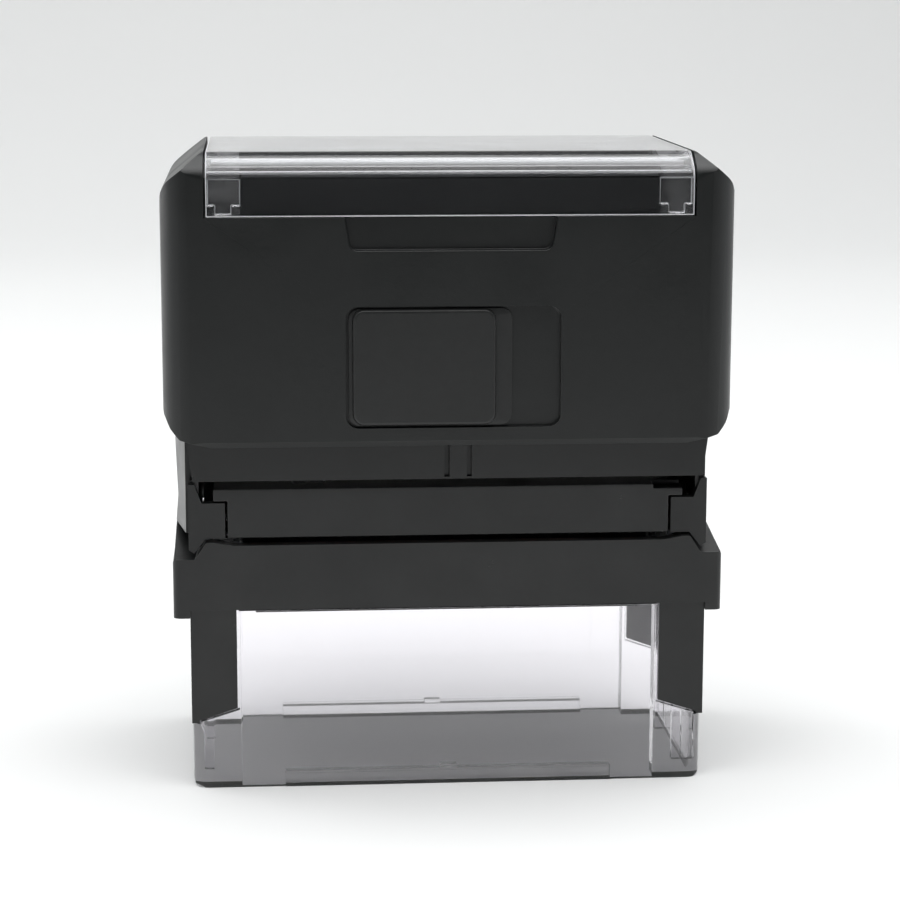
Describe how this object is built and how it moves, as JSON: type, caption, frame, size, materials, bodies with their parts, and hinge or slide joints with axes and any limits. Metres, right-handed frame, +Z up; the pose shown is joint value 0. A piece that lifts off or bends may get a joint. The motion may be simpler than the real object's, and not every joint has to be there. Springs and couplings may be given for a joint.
{
  "type": "self-inking stamp",
  "caption": "Self-inking stamp: a sprung cap slides down over a clear foot and turns an inked die over onto the paper.",
  "frame": {"origin": "on the surface that the stamp stands on, under the middle of its foot", "axes": "+Z up through the cap, +X to the right along the long side, the lock button and the drawer face -Y"},
  "size_m": [0.0786, 0.0435, 0.0891],
  "materials": {
    "black_plastic": "satin moulded, fine texture",
    "dark_plastic": "satin moulded",
    "grey_plastic": "smooth moulded, semi-gloss",
    "clear_plastic": "polished clear moulding, faintly smoky",
    "card": "uncoated card",
    "inked_felt": "felt soaked with black ink",
    "foam": "closed-cell foam sheet",
    "stamp_rubber": "engraved rubber",
    "spring_steel": "drawn wire, bright"
  },
  "bodies": {
    "base": {"clear_foot": "clear_plastic", "lower_frame": "black_plastic", "upper_frame": "black_plastic"},
    "press": {"cap_shell": "black_plastic", "index_card": "card", "carrier_yoke": "grey_plastic", "left_return_spring": "spring_steel", "right_return_spring": "spring_steel"},
    "window": {"index_window": "clear_plastic"},
    "lock": {"lock_button": "dark_plastic", "lock_retainer": "dark_plastic"},
    "pad_drawer": {"pad_cassette": "dark_plastic", "ink_pad": "inked_felt"},
    "die_carrier": {"platen": "dark_plastic", "cushion_layer": "foam", "rubber_die": "stamp_rubber", "left_axle_pin": "spring_steel", "right_axle_pin": "spring_steel", "left_turning_cam": "grey_plastic", "right_turning_cam": "grey_plastic"}
  },
  "joints": [
    {"name": "cap_press", "type": "slide", "parent": "base", "child": "press", "axis": [0, 0, -1], "range_m": [0, 0.029], "stiffness_N_per_m": 350, "springref_m": -0.012, "deforming": ["left_return_spring", "right_return_spring"]},
    {"name": "platen_turn", "type": "hinge", "parent": "press", "child": "die_carrier", "pos_m": [0, 0, 0.0333], "axis": [1, 0, 0], "range_deg": [0, 180]},
    {"name": "drawer_slide", "type": "slide", "parent": "base", "child": "pad_drawer", "axis": [0, -1, 0], "range_m": [0, 0.042]},
    {"name": "lock_slide", "type": "slide", "parent": "press", "child": "lock", "axis": [1, 0, 0], "range_m": [0, 0.006]},
    {"name": "window_lift", "type": "slide", "parent": "press", "child": "window", "axis": [0, 0, 1], "range_m": [0, 0.012]}
  ],
  "couplings": [
    {"joint": "platen_turn", "follows": "cap_press", "rad_per_m": 108.33}
  ]
}
